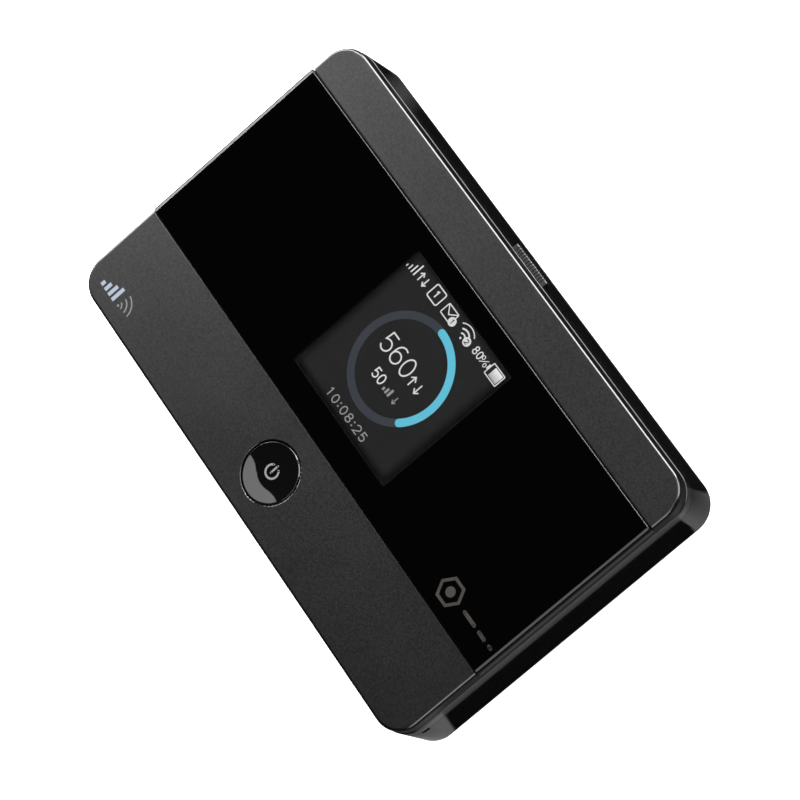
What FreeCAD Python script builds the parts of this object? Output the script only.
import FreeCAD, Part
import os
import math
import Sketcher
from FreeCAD import Placement, Rotation, Vector

# Mobile hotspot: a flat case of three shells (front cover, housing, back cover) around a
# display, a main board and a removable battery.
# Frame: millimetres, origin at the bottom centre of the case, +X along the long side,
# +Y towards the side that carries the menu button, +Z up through the display.

doc = FreeCAD.newDocument("MobileHotspot")

# ---------------------------------------------------------------- driving dimensions

DIMENSIONS = {
    "case_length": 106.0,
    "case_width": 66.0,
    "case_height": 16.0,
    "corner_radius": 5.3,
    "wall": 1.2,
    "shell_gap": 0.2,
    "cover_seam": 10.4,
    "front_seam": 12.6,
    "band_top": 15.5,
    "band_end_inset": 0.15,
    "band_side_inset": 0.1,
    "rim_edge_round": 0.15,
    "cover_floor": 1.2,
    "cover_edge_round": 0.8,
    "cover_lip_round": 0.2,
    "pry_y": -28.2,
    "pry_width": 1.5,
    "front_edge_round": 0.6,
    "band_thickness": 1.2,
    "plate_underside": 13.5,
    "window_low_side": -14.2,
    "window_high_side": 24.2,
    "window_gap": 0.2,
    "window_thickness": 1.15,
    "window_lip_drop": 0.5,
    "window_lip_width": 1.0,
    "window_end_round": 1.0,
    "window_edge_round": 0.2,
    "recess_edge_round": 0.15,
    "print_thickness": 0.05,
    "tape_thickness": 0.1,
    "view_size": 29.2,
    "display_x": 1.65,
    "display_y": 5.6,
    "lcd_length": 31.0,
    "lcd_width": 34.0,
    "lcd_glass": 1.2,
    "gasket_thickness": 0.35,
    "power_x": 0.7,
    "power_y": -23.75,
    "power_hole": 11.5,
    "power_cap": 11.2,
    "power_flange": 13.3,
    "power_dish": 0.5,
    "key_travel": 0.3,
    "menu_left": -4.0,
    "menu_right": 5.2,
    "menu_bottom": 7.95,
    "menu_top": 10.35,
    "menu_reach": 33.85,
    "menu_slot_gap": 0.25,
    "housing_bottom": 1.8,
    "housing_wall": 1.0,
    "housing_floor": 0.8,
    "board_bottom": 11.0,
    "board_thickness": 1.0,
    "board_length": 103.0,
    "board_width": 63.0,
    "bay_x": 4.0,
    "bay_wall": 1.0,
    "bay_gap": 0.3,
    "bay_ceiling": 8.0,
    "battery_length": 62.0,
    "battery_width": 44.0,
    "battery_height": 6.0,
    "battery_bottom": 1.6,
    "post_x": 47.5,
    "post_y": 27.3,
    "middle_post_x": 18.0,
    "post_diameter": 5.6,
    "screw_diameter": 1.6,
    "screw_head": 3.0,
    "usb_width": 7.5,
    "usb_height": 2.45,
    "usb_depth": 5.4,
    "usb_front_x": -52.4,
    "usb_sheet": 0.3,
    "shield_height": 1.6,
    "shield_sheet": 0.2,
    "reset_x": -38.0,
    "reset_y": -24.5,
    "reset_diameter": 1.9,
}

sheet = doc.addObject("Spreadsheet::Sheet", "Dimensions")
for row, (alias, number) in enumerate(DIMENSIONS.items(), start=1):
    sheet.set(f"A{row}", alias.replace("_", " "))
    sheet.set(f"B{row}", str(number))
    sheet.setAlias(f"B{row}", alias)
doc.recompute()


class Size:
    """A length that carries its value and the spreadsheet expression that drives it."""

    def __init__(self, value, text):
        self.value = value
        self.text = text

    def join(self, other, sign, value, swap=False):
        words = other.text if isinstance(other, Size) else repr(float(other))
        first, second = (words, self.text) if swap else (self.text, words)
        return Size(value, f"({first} {sign} {second})")

    def __add__(self, other):
        return self.join(other, "+", self.value + plain(other))

    def __radd__(self, other):
        return self.join(other, "+", plain(other) + self.value, swap=True)

    def __sub__(self, other):
        return self.join(other, "-", self.value - plain(other))

    def __rsub__(self, other):
        return self.join(other, "-", plain(other) - self.value, swap=True)

    def __mul__(self, other):
        return self.join(other, "*", self.value * plain(other))

    __rmul__ = __mul__

    def __truediv__(self, other):
        return self.join(other, "/", self.value / plain(other))

    def __neg__(self):
        return Size(-self.value, f"(0 - {self.text})")


def plain(size):
    """The number behind a Size or a bare number."""
    return size.value if isinstance(size, Size) else float(size)


def cell(alias):
    """The driving dimension of that name."""
    return Size(float(sheet.get(alias)), f"Dimensions.{alias}")


def bind(thing, target, size):
    """Tie one property of an object to the spreadsheet when its size comes from there."""
    if isinstance(size, Size):
        thing.setExpression(target, size.text)


subparts = []


def keep(thing, name):
    """Give a finished piece its name and put it on the list that is exported."""
    thing.Label = name
    subparts.append(thing)
    return thing


# ---------------------------------------------------------------- sketch outlines

ROOT = -1
START, END, CENTRE = 1, 2, 3


def constrain(sketch, constraint, size=None):
    """Add a constraint and let the spreadsheet drive its size."""
    index = sketch.addConstraint(constraint)
    if isinstance(size, Size):
        sketch.setExpression(f"Constraints[{index}]", size.text)


def locate(sketch, geometry, point, x, y):
    """Hold a point of the sketch at (x, y) from the sketch's origin."""
    for kind, size in (("DistanceX", x), ("DistanceY", y)):
        constrain(sketch, Sketcher.Constraint(kind, ROOT, 1, geometry, point, plain(size)), size)


def circle(cx, cy, diameter):
    def draw(sketch):
        shape = Part.Circle(Vector(plain(cx), plain(cy), 0), Vector(0, 0, 1), plain(diameter) / 2)
        index = sketch.addGeometry(shape)
        locate(sketch, index, CENTRE, cx, cy)
        constrain(sketch, Sketcher.Constraint("Diameter", index, plain(diameter)), diameter)
    return draw


def polygon(*points):
    """A closed outline of straight lines whose corners are each held from the origin."""
    def draw(sketch):
        corners = [Vector(plain(x), plain(y), 0) for x, y in points]
        count = len(corners)
        lines = [sketch.addGeometry(Part.LineSegment(corners[i], corners[(i + 1) % count]))
                 for i in range(count)]
        for i, line in enumerate(lines):
            after = lines[(i + 1) % count]
            constrain(sketch, Sketcher.Constraint("Coincident", line, END, after, START))
            locate(sketch, line, START, *points[i])
    return draw


def dished(*points):
    """A closed outline whose last three points are a hollow's edge, a level floor and the axis.

    An arc that starts level with the floor joins the floor to the edge.
    """
    def draw(sketch):
        corners = [Vector(plain(x), plain(z), 0) for x, z in points]
        edge, floor = corners[-3:-1]
        run, depth = edge.x - floor.x, edge.y - floor.y
        radius = (run ** 2 + depth ** 2) / (2 * depth)
        whole = Part.Circle(Vector(floor.x, floor.y + radius, 0), Vector(0, 0, 1), radius)
        low = 1.5 * math.pi
        arc = sketch.addGeometry(Part.ArcOfCircle(whole, low, low + math.asin(run / radius)))
        runs = list(zip(corners[:-3], corners[1:-2])) + [corners[-2:], (corners[-1], corners[0])]
        lines = [sketch.addGeometry(Part.LineSegment(*ends)) for ends in runs]
        wall, level, axis = lines[-3:]
        for line, after in zip(lines[:-3], lines[1:-2]):
            constrain(sketch, Sketcher.Constraint("Coincident", line, END, after, START))
        constrain(sketch, Sketcher.Constraint("Coincident", wall, END, arc, END))
        constrain(sketch, Sketcher.Constraint("Tangent", arc, START, level, START))
        constrain(sketch, Sketcher.Constraint("Coincident", level, END, axis, START))
        constrain(sketch, Sketcher.Constraint("Coincident", axis, END, lines[0], START))
        for line, (x, z) in zip(lines, points[:-3]):
            locate(sketch, line, START, x, z)
        locate(sketch, wall, END, *points[-3])
        locate(sketch, axis, START, *points[-1])
        constrain(sketch, Sketcher.Constraint("Horizontal", level))
    return draw


def rectangle(cx, cy, length, width):
    left, right = cx - length / 2, cx + length / 2
    low, high = cy - width / 2, cy + width / 2
    return polygon((left, low), (right, low), (right, high), (left, high))


def rounded(cx, cy, length, width, radius):
    """A rectangle with four equal round corners."""
    def draw(sketch):
        r = plain(radius)
        reach_x, reach_y = plain(length) / 2 - r, plain(width) / 2 - r
        arcs = []
        for quarter, (side_x, side_y) in enumerate(((1, 1), (-1, 1), (-1, -1), (1, -1))):
            middle = Vector(plain(cx) + side_x * reach_x, plain(cy) + side_y * reach_y, 0)
            whole = Part.Circle(middle, Vector(0, 0, 1), r)
            begin = quarter * math.pi / 2
            arcs.append(sketch.addGeometry(Part.ArcOfCircle(whole, begin, begin + math.pi / 2)))
        lines = []
        for i, arc in enumerate(arcs):
            after = arcs[(i + 1) % 4]
            begin = sketch.Geometry[arc].EndPoint
            finish = sketch.Geometry[after].StartPoint
            line = sketch.addGeometry(Part.LineSegment(begin, finish))
            lines.append(line)
            constrain(sketch, Sketcher.Constraint("Tangent", arc, END, line, START))
            constrain(sketch, Sketcher.Constraint("Tangent", line, END, after, START))
            constrain(sketch, Sketcher.Constraint("Horizontal" if i % 2 == 0 else "Vertical", line))
        for arc in arcs[1:]:
            constrain(sketch, Sketcher.Constraint("Equal", arcs[0], arc))
        constrain(sketch, Sketcher.Constraint("Radius", arcs[0], r), radius)
        locate(sketch, arcs[2], CENTRE, cx - length / 2 + radius, cy - width / 2 + radius)
        locate(sketch, arcs[0], CENTRE, cx + length / 2 - radius, cy + width / 2 - radius)
    return draw


class Moulding:
    """A body made of pads and pockets, each sketched on one of its own origin planes."""

    def __init__(self, name):
        self.name = name
        self.body = keep(doc.addObject("PartDesign::Body", name), name)
        self.steps = 0

    def sketch(self, plane, offset, outlines):
        self.steps += 1
        sketch = self.body.newObject("Sketcher::SketchObject", f"{self.name}_sketch{self.steps}")
        features = self.body.Origin.OriginFeatures
        sketch.AttachmentSupport = [(next(f for f in features if f.Role == plane), "")]
        sketch.MapMode = "FlatFace"
        sketch.AttachmentOffset = Placement(Vector(0, 0, plain(offset)), Rotation())
        bind(sketch, "AttachmentOffset.Base.z", offset)
        for draw in outlines:
            draw(sketch)
        return sketch

    def feature(self, kind, sketch, length, reverse=False):
        before = self.body.Shape.Volume if self.steps > 1 else 0.0
        feature = self.body.newObject(f"PartDesign::{kind}", f"{self.name}_{kind}{self.steps}")
        feature.Profile = sketch
        feature.Length = plain(length)
        bind(feature, "Length", length)
        feature.Reversed = reverse
        doc.recompute()
        after = self.body.Shape.Volume
        changed = after - before
        if (changed > 0) != (kind == "Pad") or abs(changed) < 1e-6:
            raise RuntimeError(f"{feature.Name} changed the volume by {changed:.4f}")
        return feature

    def pad(self, z, height, *outlines):
        return self.feature("Pad", self.sketch("XY_Plane", z, outlines), height)

    def cut(self, z, height, *outlines):
        """Remove a level prism that starts at z and reaches up by height."""
        return self.feature("Pocket", self.sketch("XY_Plane", z, outlines), height, reverse=True)

    def side_pad(self, y, depth, *outlines):
        """Add a prism whose outline lies in X and Z, from y back towards the middle."""
        return self.feature("Pad", self.sketch("XZ_Plane", -y, outlines), depth)

    def side_cut(self, y, depth, *outlines):
        """Remove a prism whose outline lies in X and Z, from y back towards the middle."""
        sketch = self.sketch("XZ_Plane", -y, outlines)
        return self.feature("Pocket", sketch, depth, reverse=True)

    def turn(self, outline):
        """Revolve an outline drawn in radius and z about the body's own vertical axis."""
        sketch = self.sketch("XZ_Plane", 0, [outline])
        solid = self.body.newObject("PartDesign::Revolution", f"{self.name}_turned")
        solid.Profile = sketch
        solid.ReferenceAxis = (sketch, ["V_Axis"])
        solid.Angle = 360.0
        doc.recompute()
        return solid

    def dress(self, kind, size, test):
        """Fillet or chamfer the edges of the latest feature that pass the test."""
        base = self.body.Tip
        names = [f"Edge{i}" for i, edge in enumerate(base.Shape.Edges, start=1) if test(edge)]
        if not names:
            raise RuntimeError(f"{self.name}: no edge to {kind.lower()}")
        self.steps += 1
        feature = self.body.newObject(f"PartDesign::{kind}", f"{self.name}_{kind}{self.steps}")
        feature.Base = (base, names)
        target = "Radius" if kind == "Fillet" else "Size"
        setattr(feature, target, plain(size))
        bind(feature, target, size)
        doc.recompute()
        return feature


def edges_between(low, high):
    """A test for the edges whose bounding box lies between two corners."""
    slack = 1e-4

    def test(edge):
        box = edge.BoundBox
        lows = (box.XMin, box.YMin, box.ZMin)
        highs = (box.XMax, box.YMax, box.ZMax)
        return all(a - slack <= b for a, b in zip(map(plain, low), lows)) and \
            all(b <= a + slack for a, b in zip(map(plain, high), highs))
    return test


FAR = 200.0


def level_edges(z, margin=0.0):
    """A test for the edges at one height that lie on the outer outline of the case."""
    inner_x = plain(case_length) / 2 - plain(corner_radius) - margin
    inner_y = plain(case_width) / 2 - plain(corner_radius) - margin
    at_height = edges_between((-FAR, -FAR, z), (FAR, FAR, z))

    def test(edge):
        middle = edge.CenterOfMass
        return at_height(edge) and (abs(middle.x) > inner_x or abs(middle.y) > inner_y)
    return test


# ---------------------------------------------------------------- plain solids

def block(name, cx, cy, z, length, width, height):
    """A box centred on (cx, cy) that stands on height z."""
    box = doc.addObject("Part::Box", name)
    sizes = (("Length", length), ("Width", width), ("Height", height))
    for target, size in sizes:
        setattr(box, target, plain(size))
        bind(box, target, size)
    place(box, cx - length / 2, cy - width / 2, z)
    return box


def rod(name, cx, cy, z, diameter, height):
    """An upright cylinder centred on (cx, cy) that stands on height z."""
    cylinder = doc.addObject("Part::Cylinder", name)
    cylinder.Radius = plain(diameter) / 2
    cylinder.Height = plain(height)
    bind(cylinder, "Radius", diameter / 2)
    bind(cylinder, "Height", height)
    place(cylinder, cx, cy, z)
    return cylinder


def place(thing, x, y, z):
    """Move an object's own origin to a point."""
    thing.Placement = Placement(Vector(plain(x), plain(y), plain(z)), Rotation())
    for axis, size in zip("xyz", (x, y, z)):
        bind(thing, f"Placement.Base.{axis}", size)


def cut(name, base, *tools):
    """The base with each tool taken away from it in turn."""
    result = base
    for number, tool in enumerate(tools, start=1):
        step = doc.addObject("Part::Cut", f"{name}_cut{number}")
        step.Base = result
        step.Tool = tool
        result = step
    return result


def fuse(name, *pieces):
    """Touching pieces joined into one solid."""
    whole = doc.addObject("Part::MultiFuse", f"{name}_fused")
    whole.Shapes = list(pieces)
    whole.Refine = True
    return whole


def group(name, pieces):
    """Several separate solids under one name."""
    whole = doc.addObject("Part::Compound", f"{name}_group")
    whole.Links = list(pieces)
    return whole


# ---------------------------------------------------------------- named sizes

case_length, case_width = cell("case_length"), cell("case_width")
case_height, corner_radius = cell("case_height"), cell("corner_radius")
band_top = cell("band_top")
wall, shell_gap = cell("wall"), cell("shell_gap")
cover_seam, front_seam = cell("cover_seam"), cell("front_seam")
cover_inner_length = case_length - 2 * wall
cover_inner_width = case_width - 2 * wall
cover_inner_radius = corner_radius - wall
half_length, half_width = case_length / 2, case_width / 2

window_top = case_height
window_bottom = case_height - cell("window_thickness")
print_bottom = window_bottom - cell("print_thickness")
plate_top = print_bottom - cell("tape_thickness")
window_width = cell("window_high_side") - cell("window_low_side")
window_middle = (cell("window_high_side") + cell("window_low_side")) / 2
window_inner_width = window_width - 2 * cell("window_gap")
display_x, display_y = cell("display_x"), cell("display_y")
view_size = cell("view_size")

lcd_length, lcd_width = cell("lcd_length"), cell("lcd_width")
lcd_top = plate_top - cell("gasket_thickness")
lcd_bottom = lcd_top - cell("lcd_glass")
board_bottom = cell("board_bottom")
board_top = board_bottom + cell("board_thickness")

power_x, power_y = cell("power_x"), cell("power_y")
key_travel = cell("key_travel")
menu_x = (cell("menu_left") + cell("menu_right")) / 2
menu_width = cell("menu_right") - cell("menu_left")
menu_bottom, menu_top = cell("menu_bottom"), cell("menu_top")
menu_height = menu_top - menu_bottom

housing_length = cover_inner_length - 2 * shell_gap
housing_width = cover_inner_width - 2 * shell_gap
housing_radius = cover_inner_radius - shell_gap
housing_bottom, housing_wall = cell("housing_bottom"), cell("housing_wall")
housing_floor = cell("housing_floor")
cavity_length = housing_length - 2 * housing_wall
cavity_width = housing_width - 2 * housing_wall
cavity_radius = housing_radius - housing_wall

bay_x, bay_wall, bay_gap = cell("bay_x"), cell("bay_wall"), cell("bay_gap")
bay_ceiling = cell("bay_ceiling")
battery_length, battery_width = cell("battery_length"), cell("battery_width")
battery_height, battery_bottom = cell("battery_height"), cell("battery_bottom")
bay_length = battery_length + 2 * bay_gap
bay_width = battery_width + 2 * bay_gap
battery_end_x = bay_x - battery_length / 2

post_x, post_y = cell("post_x"), cell("post_y")
middle_post_x = cell("middle_post_x")
POSTS = [(side_x, side_y) for side_x in (-post_x, middle_post_x, post_x)
         for side_y in (-post_y, post_y)]
screw_diameter, screw_head = cell("screw_diameter"), cell("screw_head")
screw_seat = 9.2

usb_width, usb_height, usb_depth = cell("usb_width"), cell("usb_height"), cell("usb_depth")
usb_x = cell("usb_front_x") + usb_depth / 2
usb_bottom = board_bottom - usb_height
reset_x, reset_y = cell("reset_x"), cell("reset_y")
reset_diameter = cell("reset_diameter")

SIM_X, SIM_Y = -14.5, 9.5
CARD_X, CARD_Y = -14.5, -9.5


# ---------------------------------------------------------------- outer shells

def make_front_cover():
    """The moulded top: two matte bands with the window's recess between them."""
    part = Moulding("front_cover")
    part.pad(front_seam, band_top - front_seam,
             rounded(0, 0, case_length - 2 * cell("band_end_inset"),
                     case_width - 2 * cell("band_side_inset"), corner_radius))
    part.dress("Fillet", cell("front_edge_round"), level_edges(band_top))
    underside = cell("plate_underside")
    part.cut(front_seam, underside - front_seam,
             rounded(0, 0, cover_inner_length, cover_inner_width, cover_inner_radius))
    void_top = band_top - cell("band_thickness")
    void_length = cover_inner_length - 6
    for side, edge in ((1, cell("window_high_side")), (-1, cell("window_low_side"))):
        outer = side * (half_width - wall)
        inner = edge + side * wall
        width = (outer - inner) * side
        part.cut(underside, void_top - underside,
                 rounded(0, (outer + inner) / 2, void_length, width, 2.0))
    collar_bottom = 13.9
    part.pad(collar_bottom, void_top - collar_bottom, circle(power_x, power_y, 14.2))
    boss_diameter = 4.4
    for x, y in POSTS:
        part.pad(board_top + 0.05, void_top - board_top, circle(x, y, boss_diameter))
    part.cut(plate_top, band_top - plate_top,
             rectangle(0, window_middle, case_length + 4, window_width))
    lip_depth = cell("window_lip_drop") + 0.1
    ledge = window_bottom - lip_depth
    for side in (-1, 1):
        inner = side * (half_length - cell("window_lip_width") - 0.1)
        outer = side * (half_length + 2)
        part.cut(ledge, plate_top - ledge,
                 rectangle((inner + outer) / 2, window_middle, (outer - inner) * side, window_width))
    part.dress("Fillet", cell("recess_edge_round"), window_recess_edges())
    part.cut(front_seam, plate_top - front_seam,
             rounded(display_x, display_y, lcd_length + 0.6, lcd_width + 0.6, 0.6))
    part.cut(front_seam, band_top - front_seam, circle(power_x, power_y, cell("power_hole")))
    part.dress("Fillet", cell("recess_edge_round"), edges_between(
        (power_x - 6, power_y - 6, band_top), (power_x + 6, power_y + 6, band_top)))
    screw_hole_depth = 2.6
    for x, y in POSTS:
        part.cut(board_top, screw_hole_depth, circle(x, y, screw_diameter))


def window_recess_edges():
    """A test for the two long top edges of the window's recess."""
    recess = (plain(cell("window_low_side")), plain(cell("window_high_side")))

    def test(edge):
        middle = edge.CenterOfMass
        near = min(abs(middle.y - y) for y in recess) < 1e-3
        return near and abs(middle.z - plain(band_top)) < 1e-3 and edge.Length > 50
    return test


def make_housing():
    """The middle frame: an open box under the board with a battery bay and the exposed rim."""
    part = Moulding("middle_frame")
    part.pad(housing_bottom, cover_seam - housing_bottom,
             rounded(0, 0, housing_length, housing_width, housing_radius))
    part.pad(cover_seam, front_seam - cover_seam,
             rounded(0, 0, case_length, case_width, corner_radius))
    part.dress("Fillet", cell("rim_edge_round"), level_edges(front_seam))
    floor_top = housing_bottom + housing_floor
    part.cut(floor_top, board_bottom - floor_top,
             rounded(0, 0, cavity_length, cavity_width, cavity_radius))
    part.cut(board_bottom, front_seam - board_bottom,
             rounded(0, 0, case_length - 2 * wall - 0.2, case_width - 2 * wall - 0.2,
                     cover_inner_radius))
    part.pad(floor_top, bay_ceiling + housing_floor - floor_top,
             rectangle(bay_x, 0, bay_length + 2 * bay_wall, bay_width + 2 * bay_wall))
    part.cut(housing_bottom, bay_ceiling - housing_bottom,
             rectangle(bay_x, 0, bay_length, bay_width))
    part.cut(bay_ceiling, housing_floor,
             rectangle(SIM_X + 3, SIM_Y, 23, 15.4), rectangle(CARD_X + 3, CARD_Y, 22, 15.4))
    for x, y in POSTS:
        part.pad(floor_top, board_bottom - floor_top, circle(x, y, cell("post_diameter")))
    for x, y in POSTS:
        part.cut(housing_bottom, screw_seat - housing_bottom, circle(x, y, screw_head + 0.6))
        part.cut(screw_seat, board_bottom - screw_seat, circle(x, y, screw_diameter + 0.2))
    usb_clearance = 0.35
    part.cut(usb_bottom - usb_clearance, board_bottom + 0.2 - usb_bottom + usb_clearance,
             rectangle(-half_length, 0, 6, usb_width + 2 * usb_clearance))
    part.cut(8.5, 1.7, rectangle(menu_x, half_width - 2, 4.0, 4.0))
    part.cut(3.4, bay_ceiling - 3.4,
             rectangle(bay_x - bay_length / 2 - bay_wall / 2, 0, bay_wall + 0.2, 10.6))
    part.cut(housing_bottom, housing_floor, circle(reset_x, reset_y, reset_diameter + 0.3))
    part.cut(cover_seam, 0.45, rectangle(half_length, cell("pry_y"), wall, cell("pry_width")))


def pill(left, right, bottom, top, radius):
    """A side outline, flat along its top, with two large round lower corners."""
    def draw(sketch):
        x0, x1, z0, z1, r = (plain(size) for size in (left, right, bottom, top, radius))
        up = Vector(0, 0, 1)
        lower_left = Part.ArcOfCircle(Part.Circle(Vector(x0 + r, z0 + r, 0), up, r),
                                      math.pi, 1.5 * math.pi)
        lower_right = Part.ArcOfCircle(Part.Circle(Vector(x1 - r, z0 + r, 0), up, r),
                                       1.5 * math.pi, 2 * math.pi)
        base = Part.LineSegment(Vector(x0 + r, z0, 0), Vector(x1 - r, z0, 0))
        right_side = Part.LineSegment(Vector(x1, z0 + r, 0), Vector(x1, z1, 0))
        lid = Part.LineSegment(Vector(x1, z1, 0), Vector(x0, z1, 0))
        left_side = Part.LineSegment(Vector(x0, z1, 0), Vector(x0, z0 + r, 0))
        path = [lower_left, base, lower_right, right_side, lid, left_side]
        index = [sketch.addGeometry(piece) for piece in path]
        for i in range(6):
            after = (i + 1) % 6
            smooth = i in (0, 1, 2, 5)
            kind = "Tangent" if smooth else "Coincident"
            constrain(sketch, Sketcher.Constraint(kind, index[i], END, index[after], START))
        constrain(sketch, Sketcher.Constraint("Horizontal", index[1]))
        constrain(sketch, Sketcher.Constraint("Horizontal", index[4]))
        constrain(sketch, Sketcher.Constraint("Equal", index[0], index[2]))
        constrain(sketch, Sketcher.Constraint("Radius", index[0], r), radius)
        locate(sketch, index[3], END, right, top)
        locate(sketch, index[0], CENTRE, left + radius, bottom + radius)
    return draw


def outer_lip(edge):
    """The outer edge of the back cover's open side."""
    box = edge.BoundBox
    at_seam = abs(box.ZMin - plain(cover_seam)) < 1e-4 and abs(box.ZMax - plain(cover_seam)) < 1e-4
    past_x = max(abs(box.XMin), abs(box.XMax)) > plain(half_length) - 1e-3
    past_y = max(abs(box.YMin), abs(box.YMax)) > plain(half_width) - 1e-3
    return at_seam and (past_x or past_y)


def make_back_cover():
    """The removable tub under the housing."""
    part = Moulding("back_cover")
    part.pad(0, cover_seam, rounded(0, 0, case_length, case_width, corner_radius))
    part.dress("Fillet", cell("cover_edge_round"), level_edges(0))
    floor = cell("cover_floor")
    part.cut(floor, cover_seam - floor,
             rounded(0, 0, cover_inner_length, cover_inner_width, cover_inner_radius))
    part.dress("Fillet", cell("cover_lip_round"), outer_lip)
    rib_height = 0.35
    for y in (-15.0, 0.0, 15.0):
        part.pad(floor, rib_height, rectangle(bay_x, y, 58.0, 0.9))
    catch_length, catch_depth = 6.0, 0.12
    catch_bottom, catch_height = 8.4, 0.9
    for side in (-1, 1):
        catch_y = side * (cover_inner_width / 2 - catch_depth / 2)
        for x in (-34.0, -17.0, 17.0, 34.0):
            part.pad(catch_bottom, catch_height, rectangle(x, catch_y, catch_length, catch_depth))
        catch_x = side * (cover_inner_length / 2 - catch_depth / 2)
        for y in (-18.0, 18.0):
            part.pad(catch_bottom, catch_height, rectangle(catch_x, y, catch_depth, catch_length))
    gap = cell("menu_slot_gap")
    part.side_cut(half_width + 1, wall + 2,
                  pill(cell("menu_left") - gap, cell("menu_right") + gap,
                       menu_bottom - gap, cover_seam + 1, 2.0))
    usb_clearance = 0.5
    part.cut(usb_bottom - usb_clearance, cover_seam - usb_bottom + usb_clearance,
             rectangle(-half_length, 0, 4, usb_width + 2 * usb_clearance))
    pry_height = 0.55
    part.cut(cover_seam - pry_height, pry_height,
             rectangle(half_length, cell("pry_y"), wall, cell("pry_width")))


# ---------------------------------------------------------------- window and display

def make_display_window():
    """The clear plate over the full length, with round ends that drop over the front cover."""
    part = Moulding("display_window")
    lip = cell("window_lip_drop")
    lip_width = cell("window_lip_width")
    part.pad(window_bottom - lip, cell("window_thickness") + lip,
             rectangle(0, window_middle, case_length, window_inner_width))
    part.cut(window_bottom - lip, lip,
             rectangle(0, window_middle, case_length - 2 * lip_width, window_width))
    for side in (-1, 1):
        end_x = side * half_length
        part.dress("Fillet", cell("window_end_round"),
                   edges_between((end_x, -FAR, window_top), (end_x, FAR, window_top)))
    part.dress("Fillet", cell("window_edge_round"), long_window_edges)


def long_window_edges(edge):
    """The two long top edges of the window."""
    return abs(edge.CenterOfMass.z - plain(window_top)) < 1e-3 and edge.Length > 90


def make_window_layers():
    """The black printed layer on the window's back and the tape that holds it down."""
    layer_length = case_length - 2 * cell("window_lip_width") - 0.1
    film = Moulding("window_print")
    film.pad(print_bottom, cell("print_thickness"),
             rectangle(0, window_middle, layer_length, window_inner_width),
             rounded(display_x, display_y, view_size, view_size, 0.3))
    tape = Moulding("window_tape")
    tape.pad(plate_top, cell("tape_thickness"),
             rectangle(0, window_middle, layer_length - 1, window_inner_width - 1),
             rounded(display_x, display_y, lcd_length + 1, lcd_width + 1, 0.8))


def make_display():
    """The display stack in the front cover's opening."""
    gasket = Moulding("lcd_gasket")
    gasket.pad(lcd_top, cell("gasket_thickness") + cell("tape_thickness"),
               rectangle(display_x, display_y, lcd_length, lcd_width),
               rectangle(display_x, display_y, view_size + 0.4, view_size + 0.4))
    glass_length, glass_width = lcd_length - 1.2, lcd_width - 1.2
    panel = Moulding("lcd_panel")
    panel.pad(lcd_bottom, cell("lcd_glass"),
              rounded(display_x, display_y, glass_length, glass_width, 0.3))
    guide_bottom = board_top + 0.35
    guide = Moulding("lcd_light_guide")
    guide.pad(guide_bottom, lcd_bottom - guide_bottom,
              rounded(display_x, display_y, glass_length, glass_width, 0.3))
    frame = Moulding("lcd_frame")
    frame.pad(board_top + 0.1, lcd_top - 0.1 - board_top,
              rounded(display_x, display_y, lcd_length, lcd_width, 0.6))
    frame.cut(guide_bottom, lcd_top - guide_bottom,
              rounded(display_x, display_y, glass_length + 0.1, glass_width + 0.1, 0.35))
    slot_width = 12.6
    frame.cut(lcd_bottom - 0.05, 0.35,
              rectangle(display_x, display_y - lcd_width / 2, slot_width, 2.0))
    make_display_flex()


def make_display_flex():
    """The flat cable from the panel's edge, folded down to its board connector."""
    ribbon, sheet_thickness = 11.5, 0.15
    edge_y = display_y - lcd_width / 2
    top_z = lcd_bottom
    connector_z, connector_height = board_top, 0.7
    run_out = 1.6
    pieces = [
        block("flex_top", display_x, edge_y - run_out / 2 + 0.25, top_z,
              ribbon, run_out + 0.5, sheet_thickness),
        block("flex_fall", display_x, edge_y - run_out + sheet_thickness / 2, connector_z + 0.3,
              ribbon, sheet_thickness, top_z - connector_z - 0.3 + sheet_thickness),
        block("flex_tail", display_x, edge_y - run_out - 0.6, connector_z + 0.3,
              ribbon, 1.4, sheet_thickness),
    ]
    keep(fuse("lcd_flex", *pieces), "lcd_flex")
    connector_y = edge_y - run_out - 2.2
    shell = block("lcd_connector_shell", display_x, connector_y, connector_z,
                  ribbon + 2.0, 2.6, connector_height)
    mouth = block("lcd_connector_mouth", display_x, connector_y + 0.9, connector_z + 0.25,
                  ribbon + 0.2, 1.6, 0.25)
    keep(cut("lcd_connector", shell, mouth), "lcd_connector")


# ---------------------------------------------------------------- keys

def make_power_key():
    """The dished round cap, its switch on the board and the switch's plunger."""
    cap = Moulding("power_button_cap")
    radius, flange = cell("power_cap") / 2, cell("power_flange") / 2
    top, dish = band_top - 0.05, cell("power_dish")
    skirt_bottom, flange_top = 13.2, 13.82
    ceiling = top - dish - 1.0
    rim_fall, flat_rim = 0.2, 0.1
    post_bottom, post_radius, skirt_radius = 13.12, 1.2, 4.6
    floor_radius = 1.8
    cap.turn(dished(
        (0, post_bottom), (post_radius, post_bottom), (post_radius, ceiling),
        (skirt_radius, ceiling), (skirt_radius, skirt_bottom), (flange, skirt_bottom),
        (flange, flange_top), (radius, flange_top), (radius, top - rim_fall),
        (radius - rim_fall, top), (radius - rim_fall - flat_rim, top),
        (floor_radius, top - dish), (0, top - dish)))
    place(cap.body, power_x, power_y, 0)

    body_size, body_height = 4.2, 0.75
    well_depth = key_travel + 0.1
    switch_top = board_top + body_height
    body = block("power_switch_body", power_x, power_y, board_top, body_size, body_size,
                 body_height)
    well = rod("power_switch_well", power_x, power_y, switch_top - well_depth, 2.0, 1.0)
    keep(cut("power_switch", body, well), "power_switch")
    plunger_z = switch_top + 0.02
    keep(rod("power_switch_stem", power_x, power_y, plunger_z, 1.8, 13.1 - plunger_z),
         "power_switch_plunger")


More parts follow.
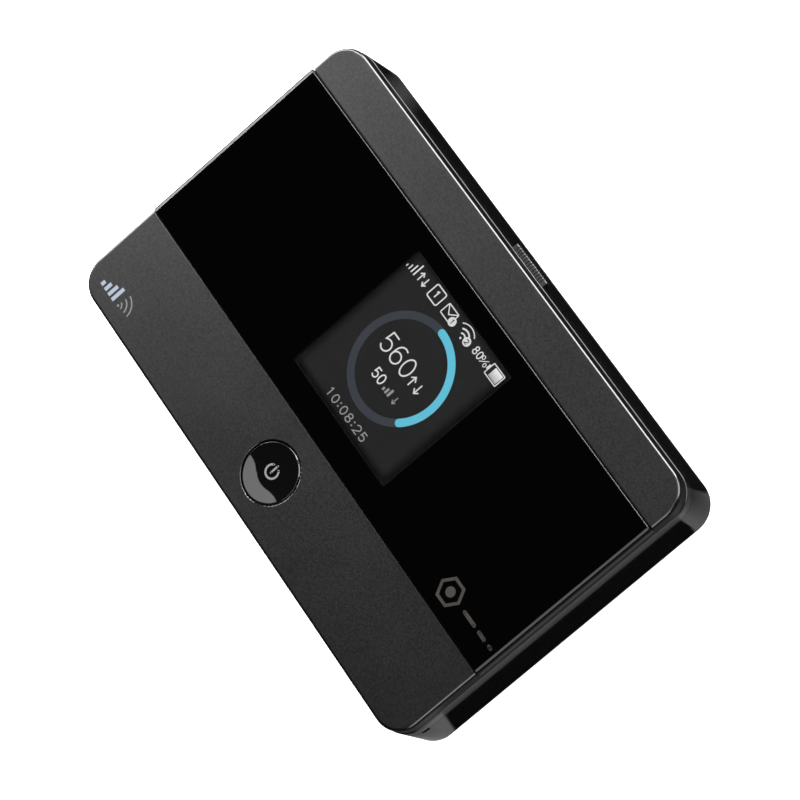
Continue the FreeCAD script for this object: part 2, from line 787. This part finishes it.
def make_menu_key():
    """The ribbed key on the long side, its stem and the side switch that it presses."""
    cap = Moulding("menu_button_cap")
    reach = cell("menu_reach")
    body_back = 32.0
    cap.side_pad(reach, reach - body_back,
                 pill(cell("menu_left"), cell("menu_right"), menu_bottom, menu_top, 1.8))
    cap.dress("Fillet", 0.3, edges_between((-FAR, reach, -FAR), (FAR, reach, FAR)))
    stem_front, stem_back = 32.05, 29.2
    cap.pad(8.75, 1.2, rectangle(menu_x, (stem_front + stem_back) / 2, 3.2,
                                 stem_front - stem_back))
    stop_y, stop_thickness = 30.1, 0.5
    cap.pad(8.6, 1.5, rectangle(menu_x, stop_y, 6.0, stop_thickness))
    pitch, groove, count = 0.62, 0.26, 13
    first = cell("menu_left") + (menu_width - pitch * (count - 1)) / 2
    ridge = cap.cut(menu_top - 0.14, 0.3, rectangle(first, reach - 0.7, groove, 1.6))
    pattern = cap.body.newObject("PartDesign::LinearPattern", "menu_button_cap_ribs")
    pattern.Originals = [ridge]
    pattern.Direction = (ridge.Profile[0], ["H_Axis"])
    pattern.Length = pitch * (count - 1)
    pattern.Occurrences = count
    cap.body.Tip = pattern
    doc.recompute()

    switch_y, switch_depth = 26.9, 3.0
    switch_front = switch_y + switch_depth / 2
    body = block("menu_switch_body", menu_x, switch_y, 8.7, 4.7, switch_depth, 2.3)
    well = block("menu_switch_well", menu_x, switch_front, 8.9, 2.2, 2 * (key_travel + 0.1), 1.1)
    keep(cut("menu_switch", body, well), "menu_switch")
    plunger_back = switch_front + 0.02
    plunger_front = stem_back - 0.02
    keep(block("menu_switch_stem", menu_x, (plunger_front + plunger_back) / 2, 9.0, 2.0,
               plunger_front - plunger_back, 0.9), "menu_switch_plunger")


def make_reset_key():
    """The small pin that is pressed from below, and its switch on the board."""
    tip = rod("reset_tip", reset_x, reset_y, housing_bottom + 0.05, reset_diameter, 7.3)
    collar = rod("reset_collar", reset_x, reset_y, housing_bottom + housing_floor + 0.1,
                 reset_diameter + 1.2, 0.6)
    keep(fuse("reset_button", tip, collar), "reset_button")
    keep(block("reset_switch_body", reset_x, reset_y, 9.5, 4.2, 3.2, 1.5), "reset_switch")


# ---------------------------------------------------------------- electronics

def make_board():
    board = Moulding("main_board")
    board.pad(board_bottom, cell("board_thickness"),
              rounded(0, 0, cell("board_length"), cell("board_width"), 4.5),
              *[circle(x, y, screw_diameter + 0.4) for x, y in POSTS])


def shield(name, cx, cy, length, width, base, up):
    """A thin metal can, open towards the board; up says which face of the board it is on."""
    height, gauge = cell("shield_height"), cell("shield_sheet")
    low = base if up else base - height
    cavity_low = low if up else low + gauge
    can = Moulding(name)
    can.pad(low, height, rounded(cx, cy, length, width, 0.6))
    can.cut(cavity_low, height - gauge,
            rounded(cx, cy, length - 2 * gauge, width - 2 * gauge, 0.4))
    vent, pitch = 0.9, 2.4
    columns, rows = int((length - 4) // pitch), int((width - 4) // pitch)
    holes = [circle(cx + (i - (columns - 1) / 2) * pitch, cy + (j - (rows - 1) / 2) * pitch, vent)
             for i in range(columns) for j in range(rows) if (i + j) % 2 == 0]
    can.cut(low + height - gauge if up else low, gauge, *holes)


def make_electronics():
    make_board()
    below = plain(board_bottom)
    chip = 0.9
    shield("baseband_shield", 18.0, 9.5, 25.0, 19.0, board_bottom, up=False)
    shield("radio_shield", 18.0, -11.5, 25.0, 16.0, board_bottom, up=False)
    shield("wifi_shield", -39.0, 15.0, 15.0, 14.0, board_bottom, up=False)
    chips = (("baseband_chip", 13.0, 9.5, 11.0), ("memory_chip", 24.5, 9.5, 8.0),
             ("radio_chip", 13.0, -11.5, 7.0), ("amplifier_chip", 23.5, -11.5, 5.0),
             ("wifi_chip", -39.0, 15.0, 6.0), ("power_chip", -38.0, -12.0, 5.5))
    for name, x, y, side in chips:
        keep(block(f"{name}_body", x, y, below - chip, side, side, chip), name)
    passives = []
    for row in range(4):
        for column in range(6):
            passives.append(block(f"passive_{row}_{column}", -44.5 + 1.9 * column,
                                  -16.8 - 1.3 * row, below - 0.5, 1.0, 0.5, 0.5))
    for column in range(7):
        passives.append(block(f"upper_passive_{column}", 24.0 + 2.4 * column, -22.0,
                              board_top, 1.0, 0.5, 0.5))
    keep(group("board_passives", passives), "board_passives")
    make_usb_socket()
    make_card_sockets()
    make_battery_connector()


def make_usb_socket():
    """The micro-USB inlet on the short end: a sheet shell round a contact tongue."""
    gauge = cell("usb_sheet")
    shell = Moulding("usb_socket_shell")
    slope = 0.9
    half = usb_width / 2
    shell.pad(usb_bottom, usb_height, rectangle(usb_x, 0, usb_depth, usb_width))
    for y in (-half, half):
        shell.dress("Chamfer", slope, edges_between((-FAR, y, usb_bottom), (FAR, y, usb_bottom)))
    front, rear_wall = cell("usb_front_x"), 0.5
    cavity_x = front + (usb_depth - rear_wall) / 2 - 1
    cavity_length = usb_depth - rear_wall + 2
    shell.cut(usb_bottom + gauge + slope, usb_height - 2 * gauge - slope,
              rectangle(cavity_x, 0, cavity_length, usb_width - 2 * gauge))
    shell.cut(usb_bottom + gauge, slope,
              rectangle(cavity_x, 0, cavity_length, usb_width - 2 * gauge - 2.2 * slope))
    tongue_length, tongue_width, tongue_thickness = 3.8, 3.9, 0.55
    tongue_x = front + usb_depth - rear_wall - tongue_length / 2
    keep(block("usb_tongue_body", tongue_x, 0, usb_bottom + 1.35,
               tongue_length, tongue_width, tongue_thickness), "usb_socket_tongue")


def make_card_sockets():
    """The SIM and memory-card sockets, reached through the bay's ceiling."""
    for name, x, y, length, width, height in (
            ("sim_socket", SIM_X, SIM_Y, 15.6, 14.6, 1.7),
            ("memory_card_socket", CARD_X, CARD_Y, 14.6, 14.2, 1.6)):
        body = block(f"{name}_body", x, y, board_bottom - height, length, width, height)
        mouth = block(f"{name}_mouth", x + 1.0, y, board_bottom - height + 0.3,
                      length, width - 2.0, height - 0.8)
        keep(cut(name, body, mouth), name)


def make_battery_connector():
    """The block beside the bay and the four springs that meet the battery's terminals."""
    block_length, block_width, bottom = 3.6, 10.0, 3.6
    bay_end = bay_x - bay_length / 2
    block_x = bay_end - bay_wall - 0.1 - block_length / 2
    housing = block("battery_connector_body", block_x, 0, bottom,
                    block_length, block_width, board_bottom - bottom)
    keep(housing, "battery_connector")
    springs = []
    tip_x = battery_end_x - 0.03
    root_x = block_x + block_length / 2
    for number in range(4):
        y = (number - 1.5) * 2.2
        springs.append(block(f"battery_spring_{number}", (tip_x + root_x) / 2, y, 4.2,
                             tip_x - root_x, 0.8, 1.6))
    keep(group("battery_contact_springs", springs), "battery_contact_springs")


# ---------------------------------------------------------------- battery, antennas, screws

def make_battery():
    pack = Moulding("battery_pack")
    pack.pad(battery_bottom, battery_height,
             rounded(bay_x, 0, battery_length, battery_width, 1.5))
    pack.dress("Fillet", 0.4, edges_between((-FAR, -FAR, battery_bottom),
                                            (FAR, FAR, battery_bottom)))
    pad_depth = 0.2
    for number in range(4):
        y = (number - 1.5) * 2.2
        pack.cut(3.9, 2.2, rectangle(battery_end_x, y, 2 * pad_depth, 1.5))
    pack.cut(battery_bottom, 0.1, rounded(bay_x, 0, battery_length - 4, battery_width - 4, 1.0))
    terminals = []
    for number in range(4):
        y = (number - 1.5) * 2.2
        terminals.append(block(f"terminal_{number}", battery_end_x + pad_depth / 2, y, 3.9,
                               pad_depth, 1.5, 2.2))
    keep(group("battery_terminals", terminals), "battery_terminals")
    label = Moulding("battery_label")
    label.pad(battery_bottom, 0.1,
              rounded(bay_x, 0, battery_length - 4.2, battery_width - 4.2, 1.0))


def make_rating_label():
    """A blank label on the bay's ceiling beside the card windows."""
    label = Moulding("rating_label")
    label.pad(bay_ceiling - 0.08, 0.08, rounded(bay_x + 14.5, 0, 30.0, 38.0, 1.0))


def make_antennas():
    """Flat antennas on the housing's inner walls, and their springs under the board."""
    foil, height, low = 0.25, 7.0, 3.2
    inner_x = cavity_length / 2 - 0.05 - foil / 2
    inner_y = cavity_width / 2 - 0.05 - foil / 2
    for name, x, y, length, along_x in (
            ("main_antenna", inner_x, 0, 36.0, False),
            ("diversity_antenna", 34.0, -inner_y, 20.0, True),
            ("wifi_antenna", -33.0, inner_y, 16.0, True)):
        size = (length, foil) if along_x else (foil, length)
        strip = block(f"{name}_foil", x, y, low, size[0], size[1], height)
        slots = []
        count = int(length // 6)
        for number in range(count):
            offset = (number - (count - 1) / 2) * 5.0
            slot_low = low - 1 if number % 2 == 0 else low + 2
            centre = (x + offset, y) if along_x else (x, y + offset)
            slots.append(block(f"{name}_slot{number}", centre[0], centre[1], slot_low,
                               1.2, 1.2, height - 1))
        keep(cut(name, strip, *slots), name)
    springs = []
    for number, (x, y) in enumerate(((inner_x, 0), (34.0, -inner_y), (-33.0, inner_y))):
        springs.append(block(f"antenna_spring_{number}", x, y, low + height + 0.02,
                             0.25, 0.25, board_bottom - low - height - 0.04))
    keep(group("antenna_contact_springs", springs), "antenna_contact_springs")


def make_screws():
    """Six flat-headed case screws, driven up through the housing into the front cover."""
    screws = []
    head_height, shank_reach = 1.1, 14.2
    for number, (x, y) in enumerate(POSTS):
        head = rod(f"screw_head_{number}", x, y, screw_seat - head_height, screw_head, head_height)
        shank = rod(f"screw_shank_{number}", x, y, screw_seat, screw_diameter - 0.04,
                    shank_reach - screw_seat)
        whole = fuse(f"screw_{number}", head, shank)
        slots = [block(f"screw_cross_{number}_{a}", x, y, screw_seat - head_height, long, wide, 0.6)
                 for a, (long, wide) in enumerate(((1.7, 0.4), (0.4, 1.7)))]
        screws.append(cut(f"screw_{number}", whole, *slots))
    keep(group("case_screws", screws), "case_screws")


# ---------------------------------------------------------------- build, check, export

make_back_cover()
make_housing()
make_front_cover()
make_display_window()
make_window_layers()
make_display()
make_power_key()
make_menu_key()
make_reset_key()
make_electronics()
make_battery()
make_rating_label()
make_antennas()
make_screws()
doc.recompute()

for thing in doc.Objects:
    if any(word in thing.State for word in ("Invalid", "Error")):
        raise RuntimeError(f"{thing.Name} is {thing.State}")
for part in subparts:
    if part.Shape.isNull() or not part.Shape.isValid() or not part.Shape.Solids:
        raise RuntimeError(f"{part.Label} has no valid shape")

os.makedirs("parts", exist_ok=True)
for part in subparts:
    part.Shape.exportStep(f"parts/{part.Label}.step")
    print(f"{part.Label:26s} {len(part.Shape.Solids):3d} solids {part.Shape.Volume:10.2f} mm3")
